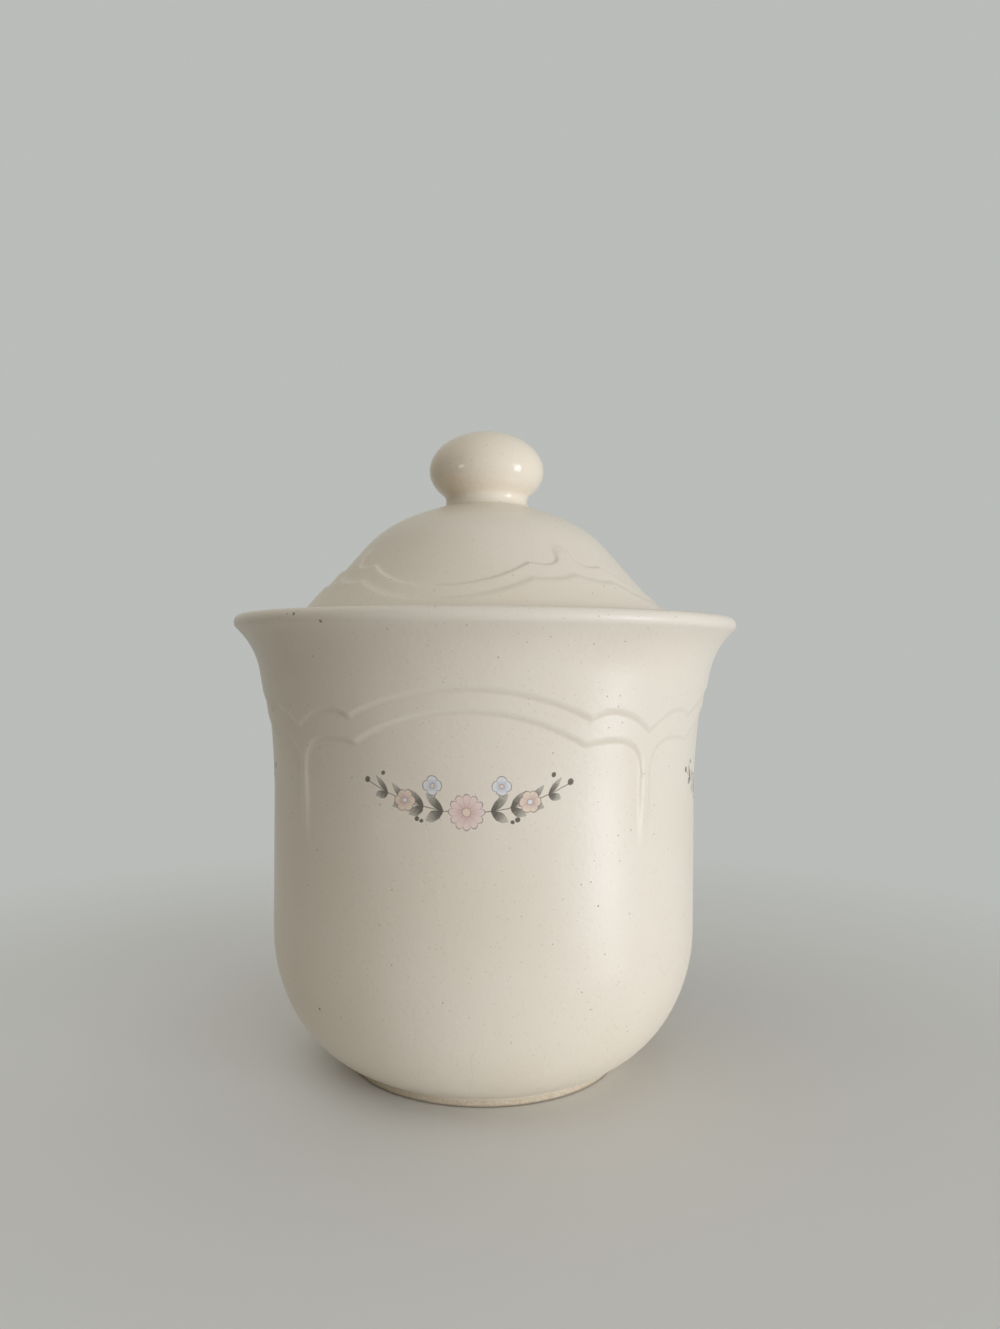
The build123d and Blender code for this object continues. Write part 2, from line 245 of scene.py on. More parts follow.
def scallop(angle, arch_points, ear_points):
    """How far up the scalloped line is: its arch, and past the cusp its ear."""
    if angle < arch_points[1][0]:
        return arch(angle, *arch_points)
    return ear(min(angle, ear_points[-1][0]), *ear_points)


def scallop_points(arch_points, ear_points, last=PANEL / 2):
    """Points of the scalloped line from the panel's middle to a last angle."""
    angles = [PANEL / 2 * number / LINE_POINTS for number in range(LINE_POINTS + 1)]
    return [(angle, scallop(angle, arch_points, ear_points)) for angle in angles if angle <= last]


def upright_points(angle, first, last, points):
    """Points of a line along a pillar's side."""
    return [(angle, first + (last - first) * number / points) for number in range(points)]


def drawn(line, place):
    """A search tree of points on a line of (angle, distance), set on the surface by place."""
    tree = KDTree(len(line))
    for number, (angle, far) in enumerate(line):
        tree.insert(place(angle, far), number)
    tree.balance()
    return tree


def signed(line, point, over):
    """A point's distance from a drawn line, below zero where the point isn't over the step."""
    far = line.find(point)[2]
    return far if over else -far


def on_jar(angle, height):
    """The point of the jar's panel surface at an angle from the panel's middle and a height."""
    turn = radians(angle)
    return Vector((sin(turn), -cos(turn), 0)) * flare(height) + Vector((0, 0, height))


def folded(point):
    """A point's angle from the middle of its panel."""
    angle = degrees(atan2(point.x, -point.y))
    return abs((angle + PANEL / 2) % PANEL - PANEL / 2)


def crowd_columns(mesh):
    """Turns the quarter's columns towards its pillar, where the relief's lines run upright."""
    for vert in mesh.verts:
        share = degrees(atan2(vert.co.x, -vert.co.y)) / PANEL
        turn = radians(PANEL) * (share + CROWDING * sin(2 * pi * share) / (2 * pi))
        vert.co.xy = Vector((sin(turn), -cos(turn))) * vert.co.xy.length


def crowd_row(share, first, line_a, line_b, last, near):
    """Where a row goes, so that most rows lie near the two lines of the relief at this angle."""
    near = near if line_a > first else -near
    places = (first, line_a - near, line_a + near, line_b - near, line_b + near, last)
    stretches = range(len(ROW_SHARES) - 1)
    stretch = max(number for number in stretches if share >= ROW_SHARES[number])
    low, high = ROW_SHARES[stretch : stretch + 2]
    return places[stretch] + (places[stretch + 1] - places[stretch]) * (share - low) / (high - low)


def mark_step(vert, marks, far, strength):
    """Marks a step's worn upper edge and its foot, at a distance from the step's line."""
    for mark, away in zip(marks, (MARK_AWAY, -MARK_AWAY)):
        vert[mark] += strength * max(1 - abs(far - away) / MARK_WIDTH, 0)


upper_line = drawn(scallop_points(UPPER_ARCH, UPPER_EAR), on_jar)
lower_points = scallop_points(LOWER_ARCH, LOWER_EAR, PILLAR_SIDE)
lower_points += upright_points(PILLAR_SIDE, PILLAR_FADE[1], PILLAR_END, PILLAR_POINTS)
lower_line = drawn(lower_points, on_jar)
marks = [jar_mesh.verts.layers.float.new(name) for name in MARKS]
crowd_columns(jar_mesh)
for vert in jar_mesh.verts:
    # The lip is marked as a worn edge, so its glaze is painted paler: thinner glaze at the rim, and
    # partly a painted highlight where the lip catches the light.
    past_lip = hypot(vert.co.xy.length - LIP_RADIUS, vert.co.z - LIP_LEVEL) - LIP_ROUND
    vert[marks[0]] = 1 - portion(past_lip, 0, LIP_WEAR_AND_HIGHLIGHT)
    share = (vert.co.z - RELIEF_START) / (SHOULDER - RELIEF_START)
    if not 0 < share < 1 + ROUNDING or vert.co.xy.length < BODY_RADIUS - STEP:
        continue
    angle = folded(vert.co)
    upper = scallop(angle, UPPER_ARCH, UPPER_EAR)
    lower = scallop(angle, LOWER_ARCH, LOWER_EAR)
    height = crowd_row(share, RELIEF_START, lower, upper, SHOULDER, ROWS_NEAR)
    point = on_jar(angle, height)
    far_upper = signed(upper_line, point, height > upper)
    far_lower = signed(lower_line, point, angle > PILLAR_SIDE or height > lower)
    fade = portion(height, *PILLAR_FADE)
    proud = STEP * (step_up(far_upper) + step_up(far_lower) * fade * (2 - fade))
    vert.co.xy = vert.co.xy.normalized() * (flare(height) + proud)
    vert.co.z = height
    mark_step(vert, marks, far_upper, 1)
    mark_step(vert, marks, far_lower, fade)
copy_round(jar_mesh)

# Jar glaze. A satin cream glaze covers the jar but for the foot ring and the ledge, which are bare
# clay; the whole outer band of the foot is painted as bare clay, which also stands in for painted
# shade under the undercut ring. Iron in the clay shows through as sparse specks, the raised edges
# have small chips from use, a few hairlines run through the glaze of the bowl, and painted shade
# darkens the foot's lowest edge where it meets the floor, as a contact shadow.
CREAM = (0.80, 0.725, 0.605, 1)
WARM_CREAM = (0.775, 0.69, 0.56, 1)
THIN_GLAZE = (0.82, 0.75, 0.645, 1)
THICK_GLAZE = (0.72, 0.635, 0.50, 1)
BARE_CLAY = (0.62, 0.53, 0.40, 1)
DARK_CLAY = (0.50, 0.42, 0.30, 1)
IRON_AND_SHADE = (0.13, 0.085, 0.05, 1)
GLAZE_ROUGHNESS = 0.27
CLAY_ROUGHER = 0.25
GLAZE_DEPTH = 0.00012
SPECK_CORE = 0.45
FOOT_BARE_AND_SHADE = (3.2, 2.3)
FOOT_BARE_AND_SHADE_INSIDE = (42.0, 42.8)
REST_BARE = (0.35, 0.15)
LEDGE_BARE_INSIDE = (69.9, 70.5)
LEDGE_BARE_OUTSIDE = (75.0, 74.4)
HAIR_TOP = (62, 40)
FOOT_SHADE_TOP = (1.2, 0.3)
FOOT_SHADE_INSIDE = (46.0, 47.0)


class Shade:
    """A socket of a material: sums and products on it add Math nodes to the material."""

    def __init__(self, tree, socket=None):
        self.tree = tree
        self.socket = socket

    def node(self, kind, settings, sockets, out=0):
        """Any node: its settings first, then the values or links of its sockets."""
        made = self.tree.nodes.new(kind)
        for name, value in settings.items():
            setattr(made, name, value)
        for name, value in sockets.items():
            if isinstance(value, Shade):
                self.tree.links.new(value.socket, made.inputs[name])
            else:
                made.inputs[name].default_value = value
        return Shade(self.tree, made.outputs[out])

    def math(self, operation, *others):
        """A Math node on this socket and others."""
        sockets = dict(enumerate((self, *others)))
        return self.node("ShaderNodeMath", {"operation": operation}, sockets)

    def __add__(self, other):
        return self.math("ADD", other)

    def __radd__(self, other):
        return self.math("ADD", other)

    def __sub__(self, other):
        return self.math("SUBTRACT", other)

    def __rsub__(self, other):
        return self * -1 + other

    def __mul__(self, other):
        return self.math("MULTIPLY", other)

    def __rmul__(self, other):
        return self.math("MULTIPLY", other)

    def __truediv__(self, other):
        return self.math("DIVIDE", other)

    def __abs__(self):
        return self.math("ABSOLUTE")

    def ease(self, low, high):
        """0 at low, 1 at high, and a soft S between them."""
        return self.node(
            "ShaderNodeMapRange",
            {"interpolation_type": "SMOOTHSTEP"},
            {"Value": self, "From Min": low, "From Max": high},
        )

    def paint(self, under, over, blend="MIX"):
        """One colour over another where this mask is 1. The colour sockets go by their numbers."""
        settings = {"data_type": "RGBA", "blend_type": blend}
        return self.node("ShaderNodeMix", settings, {0: self, 6: under, 7: over}, out=2)

    def noise(self, scale, detail=2.0):
        """Cloudy noise, with this socket as its place."""
        return self.node("ShaderNodeTexNoise", {}, {"Vector": self, "Scale": scale, "Detail": detail})


def new_material(name):
    """A new material, its Principled shader, and the place on the piece to build its nodes on."""
    material = bpy.data.materials.new(name)
    material.use_nodes = True
    place = Shade(material.node_tree).node("ShaderNodeTexCoord", {}, {}, out="Object")
    return material, material.node_tree.nodes["Principled BSDF"], place


def wire(shader, **sockets):
    """Links or sets the sockets of a material's shader, named with _ for a space."""
    for name, value in sockets.items():
        socket = shader.inputs[name.replace("_", " ")]
        if isinstance(value, Shade):
            value.tree.links.new(value.socket, socket)
        else:
            socket.default_value = value


def specks(place, cells, radius, share):
    """Dots of a radius in metres, in a share of the cells, which are so many to the metre."""
    sockets = {"Vector": place, "Scale": cells}
    far = place.node("ShaderNodeTexVoronoi", {}, sockets)
    pick = place.node("ShaderNodeTexVoronoi", {}, sockets, out="Color")
    chance = place.node("ShaderNodeSeparateColor", {}, {"Color": pick})
    dot = far.ease(radius * cells, radius * cells * SPECK_CORE)
    return dot * chance.math("LESS_THAN", share)


def glaze(place, bare):
    """Colour, roughness and height of the cream glaze, and of bare clay where that mask is 1."""
    cloud = place.noise(22.0, 3.0)
    grain = place.noise(1500.0)
    waves = place.noise(140.0)
    pebble = place.noise(560.0)
    edge, foot = (
        place.node("ShaderNodeAttribute", {"attribute_name": mark}, {}, out="Fac") for mark in MARKS
    )
    dust = specks(place, cells=620.0, radius=0.00026, share=0.70)
    small = specks(place, cells=250.0, radius=0.00036, share=0.50)
    large = specks(place, cells=105.0, radius=0.00060, share=0.16)
    chips = specks(place, cells=230.0, radius=0.00075, share=0.20) * edge.ease(0.5, 0.9)
    marks = dust * 0.26 + small * 0.50 + large * 0.80 + chips * 0.75
    marks = marks.math("MINIMUM", 1.0)
    colour = cloud.ease(0.35, 0.7).paint(CREAM, WARM_CREAM)
    colour = (edge * 0.5).paint(colour, THIN_GLAZE)
    colour = (foot * 0.35).paint(colour, THICK_GLAZE)
    colour = marks.paint(colour, IRON_AND_SHADE)
    clay = grain.ease(0.3, 0.7).paint(BARE_CLAY, DARK_CLAY)
    colour = bare.paint(colour, clay)
    rough = GLAZE_ROUGHNESS + 0.08 * cloud + 0.08 * grain + 0.20 * marks + CLAY_ROUGHER * bare
    height = waves * 0.5 + pebble * 0.48 + grain * (0.15 + bare * 0.5) - large * 0.4 - chips * 0.8
    return colour, rough, height


def girth(place):
    """Distance from the axis, height, and angle from the front, in millimetres and radians."""
    x, y, z = (place.node("ShaderNodeSeparateXYZ", {}, {0: place}, out=axis) for axis in "XYZ")
    radius = (x * x + y * y).math("SQRT")
    return radius * 1000, z * 1000, x.math("ARCTAN2", y * -1)


def bumped(place, height, depth):
    """A surface that rises and falls by a depth in metres with a height."""
    return place.node("ShaderNodeBump", {}, {"Distance": depth, "Height": height})


def finish(name, mesh, material):
    """The finished piece: its mesh in metres, smooth, with its material."""
    bmesh.ops.scale(mesh, vec=(0.001, 0.001, 0.001), verts=mesh.verts)
    data = bpy.data.meshes.new(name)
    mesh.to_mesh(data)
    mesh.free()
    data.shade_smooth()
    data.materials.append(material)
    piece = bpy.data.objects.new(name, data)
    bpy.context.scene.collection.objects.link(piece)
    return piece


jar_glaze, jar_shader, place = new_material("jar_glaze")
radius, level, angle = girth(place)
# The outer foot band is painted as bare clay: partly real bare clay, partly painted shade under the
# undercut ring.
foot_bare_and_shade = level.ease(*FOOT_BARE_AND_SHADE) * radius.ease(*FOOT_BARE_AND_SHADE_INSIDE)
ledge_bare = radius.ease(*LEDGE_BARE_INSIDE) * radius.ease(*LEDGE_BARE_OUTSIDE)
ledge_bare = ledge_bare * abs(level - LEDGE_LEVEL).ease(*REST_BARE)
colour, rough, height = glaze(place, foot_bare_and_shade.math("MAXIMUM", ledge_bare))
hair = abs(place.noise(19.0) - 0.5).ease(0.003, 0.001)
hair = hair * place.noise(11.0, 0.0).ease(0.52, 0.60) * level.ease(*HAIR_TOP)
colour = (hair * 0.05).paint(colour, IRON_AND_SHADE)
# Painted shade: the foot's lowest edge is painted dark where it meets the floor, as a contact shadow.
foot_edge_shade = level.ease(*FOOT_SHADE_TOP) * radius.ease(*FOOT_SHADE_INSIDE)
colour = (foot_edge_shade * 0.6).paint(colour, IRON_AND_SHADE)

# Jar print. A small garland is printed on the glaze in the middle of each panel and fired on: a
# hanging stem with pairs of narrow leaves, a pink daisy, and blue and peach blossoms beside it.
# Its places are in millimetres across from the panel's middle and up from its own middle height.
PRINT_HEIGHT = 103.5
PRINT_RADIUS = 75.0
PRINT_OUTSIDE = (73.0, 74.0)
PRINT_BLUR = 0.10
PEN_BLUR = (0.09, -0.07)
WOBBLE = 0.7
STREAK = 0.35
PINK = (0.81, 0.635, 0.575, 1)
DEEP_PINK = (0.68, 0.46, 0.41, 1)
PEACH = (0.80, 0.645, 0.51, 1)
PALE_BLUE = (0.75, 0.75, 0.76, 1)
DEEP_BLUE = (0.50, 0.52, 0.60, 1)
LEAF = (0.085, 0.076, 0.057, 1)
LEAF_TIP = (0.55, 0.50, 0.42, 1)
INK = (0.19, 0.145, 0.115, 1)
STEM_DROP = 5.5
STEM_RISE = 8.5
STEM_END = 31.0
STALK_PLACE = 8.4
STALK_LEAN = 0.27
STALK_HEIGHT = 7.2
END_BLUR = 0.2
FIRST_LEAF = 7.0
LEAF_PITCH = 5.7
LEAF_PAIRS = 4
LEAF_LEAN = 38.0
LEAF_LENGTH = 6.6
LEAF_SHORTER = 0.5
LEAF_FULLNESS = 5.4
LEAF_SLIMMER = 0.4
LEAF_PALING = (0.35, 1.2)
HEART = 0.24
STEM_PEN = 0.15
STALK_PEN = 0.11
VEIN_PEN = 0.05
SEAM_PEN = 0.04
OUTLINE_PEN = 0.13
HEART_PEN = 0.07
# A blossom: its place across and up, reach, petals, depth of notches, and three colours,
# of the petals, of their inner ends and of the heart. A berry: its place and its radius.
DAISY = (0.0, -5.4, 5.3, 12, 0.26, PINK, DEEP_PINK, PEACH)
BLUE_BLOSSOM = (10.2, 2.2, 2.9, 4, 0.36, PALE_BLUE, DEEP_BLUE, PEACH)
PEACH_BLOSSOM = (18.6, -2.4, 3.3, 6, 0.24, PEACH, DEEP_PINK, PALE_BLUE)
BERRIES = ((13.4, -8.3, 0.62), (14.9, -7.6, 0.75), (25.6, 5.4, 0.70), (STEM_END, 3.2, 0.95))


def inside(far):
    """1 inside a printed shape, whose edge is where far is 0."""
    return far.ease(PRINT_BLUR, -PRINT_BLUR)


def pen(far, wide):
    """1 on a fine drawn line where far is 0."""
    return abs(far).ease(wide + PEN_BLUR[0], wide + PEN_BLUR[1])


def distance(across, up):
    """How far a point is from where both are 0."""
    return (across * across + up * up).math("SQRT")


def blossom(across, up, reach, petals, notch):
    """Distances from the edge of a blossom of round petals, from its middle, and between petals."""
    far = distance(across, up)
    lobe = abs((up.math("ARCTAN2", across) * (petals / 2)).math("COSINE"))
    edge = far - lobe.math("SQRT") * (reach * notch) - reach * (1 - notch)
    return edge, far, lobe * far * (2 / petals)


wobble = (place.noise(420.0, 1.0) - 0.5) * WOBBLE
streak = place.noise(1300.0, 1.0) * STREAK
front = radius.ease(*PRINT_OUTSIDE)
round_panel = angle.math("WRAP", radians(PANEL / 2), radians(-PANEL / 2))
across = abs(round_panel * PRINT_RADIUS) + wobble
up = level - PRINT_HEIGHT + wobble

stem = up - across * across * (STEM_RISE / STEM_END**2) + STEM_DROP
stalk = across - STALK_PLACE - stem * STALK_LEAN
stalk_area = stem.ease(0.0, END_BLUR) * stem.ease(STALK_HEIGHT, STALK_HEIGHT - END_BLUR)
stems = pen(stem, STEM_PEN) * across.ease(STEM_END + END_BLUR, STEM_END)
stems = stems.math("MAXIMUM", pen(stalk, STALK_PEN) * stalk_area)
colour = (stems * front * 0.85).paint(colour, INK)

pair = ((across - FIRST_LEAF) / LEAF_PITCH).math("FLOOR")
beside = across - FIRST_LEAF - pair * LEAF_PITCH
lean = radians(LEAF_LEAN)
along = (beside * cos(lean) + abs(stem) * sin(lean)) / (LEAF_LENGTH - pair * LEAF_SHORTER)
aside = abs(stem) * cos(lean) - beside * sin(lean)
leaf = abs(aside) - along * (1 - along) * (LEAF_FULLNESS - pair * LEAF_SLIMMER)
leaf_end = FIRST_LEAF + LEAF_PITCH * LEAF_PAIRS
leaf_area = across.ease(FIRST_LEAF - END_BLUR / 2, FIRST_LEAF + END_BLUR / 2)
leaf_area = leaf_area * across.ease(leaf_end, leaf_end - END_BLUR)
leaf_colour = (along + streak).ease(*LEAF_PALING).paint(LEAF, LEAF_TIP)
leaf_colour = (pen(aside, VEIN_PEN) * 0.55).paint(leaf_colour, INK)
colour = (inside(leaf) * leaf_area * front * 0.92).paint(colour, leaf_colour)

for middle, rise, reach, petals, notch, petal, deep, heart in (DAISY, BLUE_BLOSSOM, PEACH_BLOSSOM):
    shape, far, seam = blossom(across - middle, up - rise, reach, petals, notch)
    wash = ((far + streak) / reach).ease(0.15, 0.85).paint(deep, petal)
    wash = (pen(seam, SEAM_PEN) * far.ease(reach, reach * 0.5) * 0.45).paint(wash, INK)
    colour = (inside(shape) * front * 0.9).paint(colour, wash)
    colour = (pen(shape, OUTLINE_PEN) * front * 0.75).paint(colour, INK)
    colour = (inside(far - reach * HEART) * front).paint(colour, heart)
    colour = (pen(far - reach * HEART, HEART_PEN) * front * 0.7).paint(colour, INK)
for middle, rise, reach in BERRIES:
    berry = inside(distance(across - middle, up - rise) - reach)
    colour = (berry * front * 0.9).paint(colour, LEAF)
wire(jar_shader, Base_Color=colour, Roughness=rough, Normal=bumped(place, height, GLAZE_DEPTH))
jar = finish("jar_cast", jar_mesh, jar_glaze)
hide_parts("jar")
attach(jar, "jar")

# Seal. A soft moulded ring sits in the groove of the lid's collar, and two thin lips on it press
# lightly against the throat of the jar. It is stretched over the collar into its groove.
SEAL_INSIDE = 66.15
SEAL_OUTSIDE = 68.55
SEAL_TIP = 69.7
SEAL_LOW = 133.5
SEAL_HIGH = 138.3
SEAL_ROUND = 0.3
SEAL_LIP_FEET = (134.25, 136.65)
SEAL_LIP_RISE = 0.9
SEAL_LIP_TOP = 1.3
SEAL_LIP_ROUND = 0.25
PALE_RUBBER = (0.76, 0.73, 0.66, 1)
DULL_RUBBER = (0.70, 0.66, 0.57, 1)
RUBBER_DEPTH = 0.00003

inner_round = SEAL_INSIDE + SEAL_ROUND
outer_round = SEAL_OUTSIDE - SEAL_ROUND
low_round = SEAL_LOW + SEAL_ROUND
high_round = SEAL_HIGH - SEAL_ROUND
seal_outline = [(SEAL_INSIDE, low_round)]
seal_outline += arc((inner_round, low_round), SEAL_ROUND, SEAL_ROUND, 180, 270, 3)
seal_outline += arc((outer_round, low_round), SEAL_ROUND, SEAL_ROUND, 270, 360, 3)
for foot in SEAL_LIP_FEET:
    lip_foot = (SEAL_OUTSIDE, foot)
    lip_tip = (SEAL_TIP, foot + SEAL_LIP_RISE)
    lip_top = (SEAL_TIP - SEAL_LIP_ROUND, foot + SEAL_LIP_TOP)
    lip_root = (SEAL_OUTSIDE, foot + SEAL_LIP_RISE)
    seal_outline += [lip_foot]
    seal_outline += bend(lip_foot, 20, lip_tip, 60, 4)
    seal_outline += bend(lip_tip, 90, lip_top, 180, 3)
    seal_outline += bend(lip_top, 190, lip_root, 200, 4)
seal_outline += arc((outer_round, high_round), SEAL_ROUND, SEAL_ROUND, 0, 90, 3)
seal_outline += arc((inner_round, high_round), SEAL_ROUND, SEAL_ROUND, 90, 180, 3)
seal_outline += [seal_outline[0]]
seal_mesh = spin_quarter(seal_outline)
copy_round(seal_mesh)
seal_rubber, seal_shader, place = new_material("seal_rubber")
cloud = place.noise(60.0, 3.0)
colour = cloud.ease(0.35, 0.7).paint(PALE_RUBBER, DULL_RUBBER)
rough = 0.42 + 0.15 * cloud
grain = place.noise(2200.0)
wire(seal_shader, Base_Color=colour, Roughness=rough, Normal=bumped(place, grain, RUBBER_DEPTH))
seal = finish("seal_ring", seal_mesh, seal_rubber)
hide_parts("lid_seal")
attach(seal, "seal")

# Lid. The domed lid, its hollow knob and the collar that hangs into the jar's mouth are one cast
# piece of the same stoneware. Its skirt carries the jar's relief the other way up, and it is glazed
# like the jar, glossier on the knob, with bare clay only where it rests. The knob's colour is painted
# paler, as painted light that makes it read brighter.
LID_EDGE_RADIUS = 74.15
LID_REST = LEDGE_LEVEL
LID_EDGE_HEIGHT = 6.9
LID_EDGE_TOP = 4.7
LID_EDGE_ROUND = 0.5
LID_SLOPE = 49.0
LID_WALL = 5.0
LID_TURN = -10.5
KNOB_RADIUS = 20.8
KNOB_MIDDLE = 211.2
KNOB_CROWN = 14.2
KNOB_UNDER = 13.5
KNOB_FOOT = 15.9
KNOB_BORE = 7.5
NECK = (14.7, 199.9)
NECK_PULL = 0.5
CROWN = (19.3, 196.6)
CROWN_SLOPE = 17.8
SKIRT_INSET = 30.7
RELIEF_INSET = 8.6
BAND_INSET = 8.0
EDGE_INSET = 1.1
COLLAR_RADIUS = 68.05
COLLAR_INSIDE = 62.65
COLLAR_FOOT = 129.4
COLLAR_ROUND = 0.8
COLLAR_COVE = (0.55, 0.6)
GROOVE_RADIUS = 66.05
GROOVE_LOW = 133.4
GROOVE_HIGH = 138.4
HOLLOW_FOOT = 148.9
HOLLOW_PULL = 0.2
LID_RELIEF_ROWS = 40
LID_ROWS_NEAR = 1.7
OUTER_ARCH = ((0, 10.6), (29.3, 16.8))
OUTER_EAR = ((29.3, 16.8), (37.2, 16.7), (45.0, 18.2))
OUTER_SOFTNESS = 2.1
OUTER_MARK = 0.6
INNER_ARCH = ((0, 15.4), (29.5, 22.4))
INNER_EAR = ((29.5, 22.4), (38.3, 22.2), (42.0, 25.3))
LID_PILLAR_SIDE = 42.0
LID_PILLAR_FADE = (29.4, 24.8)
LID_PILLAR_END = 32.8
LID_PILLAR_POINTS = 80
LID_BARE_INSIDE = (68.2, 68.7)
KNOB_LIGHT_AND_GLOSS_START = (194, 203)
KNOB_PAINTED_LIGHT = (1.11, 1.10, 1.075, 1)
KNOB_SMOOTHER = 0.20


def skirt(inset, proud):
    """A point of the lid's sloping skirt, inset from its edge and proud of its panels."""
    sunk = (2 * STEP - proud) / cos(radians(LID_SLOPE))
    height = LID_REST + LID_EDGE_HEIGHT + inset * tan(radians(LID_SLOPE)) - sunk
    return LID_EDGE_RADIUS - inset, height


def on_lid(angle, inset):
    """The point of the lid's skirt at an angle from a panel's middle and an inset from the edge."""
    radius, height = skirt(inset, 0)
    return Vector((radius * sin(radians(angle)), -radius * cos(radians(angle)), height))


def under(point, slope):
    """The point of the lid's inside under a point of its outside."""
    turn = radians(slope)
    return point[0] - LID_WALL * sin(turn), point[1] - LID_WALL * cos(turn)


knob_middle = (0, KNOB_MIDDLE)
tuck = degrees(acos(KNOB_FOOT / KNOB_RADIUS))
tuck_lean = degrees(atan2(KNOB_UNDER * cos(radians(tuck)), KNOB_RADIUS * sin(radians(tuck))))
knob_foot = around(knob_middle, KNOB_RADIUS, KNOB_UNDER, -tuck)
shoulder = skirt(SKIRT_INSET, 0)
relief_inset = (RELIEF_INSET - SKIRT_INSET) / LID_RELIEF_ROWS
relief_insets = [SKIRT_INSET + relief_inset * row for row in range(1, LID_RELIEF_ROWS + 1)]
band_start = skirt(BAND_INSET, 2 * STEP)
edge_start = skirt(EDGE_INSET, 2 * STEP)
edge_top = (LID_EDGE_RADIUS, LID_REST + LID_EDGE_TOP)
edge_round = (LID_EDGE_RADIUS - LID_EDGE_ROUND, LID_REST + LID_EDGE_ROUND)
rest_edge = (LID_EDGE_RADIUS - LID_EDGE_ROUND, LID_REST)
cove_start = (COLLAR_RADIUS + COLLAR_COVE[0], LID_REST)
cove_end = (COLLAR_RADIUS, LID_REST - COLLAR_COVE[1])
collar_level = COLLAR_FOOT + COLLAR_ROUND
collar_outer_round = (COLLAR_RADIUS - COLLAR_ROUND, collar_level)
collar_inner_round = (COLLAR_INSIDE + COLLAR_ROUND, collar_level)
hollow_foot = (COLLAR_INSIDE, HOLLOW_FOOT)
under_shoulder = under(shoulder, LID_SLOPE)
under_crown = under(CROWN, CROWN_SLOPE)
bore_foot = (KNOB_BORE, NECK[1])
bore_top = KNOB_MIDDLE - KNOB_BORE

lid_outline = [(0, KNOB_MIDDLE + KNOB_CROWN)]
lid_outline += arc(knob_middle, KNOB_RADIUS, KNOB_CROWN, 90, 0, 16)
lid_outline += arc(knob_middle, KNOB_RADIUS, KNOB_UNDER, 0, -tuck, 8)
lid_outline += bend(knob_foot, 180 + tuck_lean, NECK, -90, 5)
lid_outline += bend(NECK, -90, CROWN, -CROWN_SLOPE, 7, NECK_PULL)
lid_outline += bend(CROWN, -CROWN_SLOPE, shoulder, -LID_SLOPE, 18)
lid_outline += [skirt(inset, 0) for inset in relief_insets]
lid_outline += straight(band_start, edge_start, 4)
lid_outline += bend(edge_start, -LID_SLOPE, edge_top, -90, 5)
lid_outline += [(LID_EDGE_RADIUS, edge_round[1])]
lid_outline += arc(edge_round, LID_EDGE_ROUND, LID_EDGE_ROUND, 0, -90, 3)
lid_outline += straight(rest_edge, cove_start, 2)
lid_outline += bend(cove_start, 180, cove_end, -90, 3, CORNER_PULL)
lid_outline += [(COLLAR_RADIUS, GROOVE_HIGH), (GROOVE_RADIUS, GROOVE_HIGH)]
lid_outline += [(GROOVE_RADIUS, GROOVE_LOW), (COLLAR_RADIUS, GROOVE_LOW)]
lid_outline += arc(collar_outer_round, COLLAR_ROUND, COLLAR_ROUND, 0, -90, 3)
lid_outline += arc(collar_inner_round, COLLAR_ROUND, COLLAR_ROUND, -90, -180, 3)
lid_outline += straight((COLLAR_INSIDE, collar_level), hollow_foot, 3)
lid_outline += bend(hollow_foot, 90, under_shoulder, 180 - LID_SLOPE, 10, HOLLOW_PULL)
lid_outline += bend(under_shoulder, 180 - LID_SLOPE, under_crown, 180 - CROWN_SLOPE, 8)
lid_outline += bend(under_crown, 180 - CROWN_SLOPE, bore_foot, 90, 6)
lid_outline += [(KNOB_BORE, bore_top)]
lid_outline += arc((0, bore_top), KNOB_BORE, KNOB_BORE, 0, 90, 6)
lid_mesh = spin_quarter(lid_outline)

outer_line = drawn(scallop_points(OUTER_ARCH, OUTER_EAR), on_lid)
inner_points = scallop_points(INNER_ARCH, INNER_EAR, LID_PILLAR_SIDE)
inner_points += upright_points(
    LID_PILLAR_SIDE, LID_PILLAR_FADE[1], LID_PILLAR_END, LID_PILLAR_POINTS
)
inner_line = drawn(inner_points, on_lid)
marks = [lid_mesh.verts.layers.float.new(name) for name in MARKS]
crowd_columns(lid_mesh)
for vert in lid_mesh.verts:
    inset = LID_EDGE_RADIUS - vert.co.xy.length
    share = (SKIRT_INSET - inset) / (SKIRT_INSET - RELIEF_INSET)
    if not 0 < share < 1 + ROUNDING or vert.co.z < skirt(inset, -LID_WALL / 2)[1]:
        continue
    angle = folded(vert.co)
    outer = scallop(angle, OUTER_ARCH, OUTER_EAR)
    inner = scallop(angle, INNER_ARCH, INNER_EAR)
    inset = crowd_row(share, SKIRT_INSET, inner, outer, RELIEF_INSET, LID_ROWS_NEAR)
    point = on_lid(angle, inset)
    far_outer = signed(outer_line, point, inset < outer)
    far_inner = signed(inner_line, point, angle > LID_PILLAR_SIDE or inset < inner)
    fade = portion(inset, *LID_PILLAR_FADE)
    proud = STEP * (step_up(far_outer, OUTER_SOFTNESS) + step_up(far_inner) * swell(fade))
    radius, vert.co.z = skirt(inset, proud)
    vert.co.xy = vert.co.xy.normalized() * radius
    mark_step(vert, marks, far_outer, OUTER_MARK)
    mark_step(vert, marks, far_inner, fade)
copy_round(lid_mesh, LID_TURN)
lid_glaze, lid_shader, place = new_material("lid_glaze")
radius, level, angle = girth(place)
bare = abs(level - LID_REST).ease(*REST_BARE) * radius.ease(*LID_BARE_INSIDE)
colour, rough, height = glaze(place, bare)
knob = level.ease(*KNOB_LIGHT_AND_GLOSS_START)
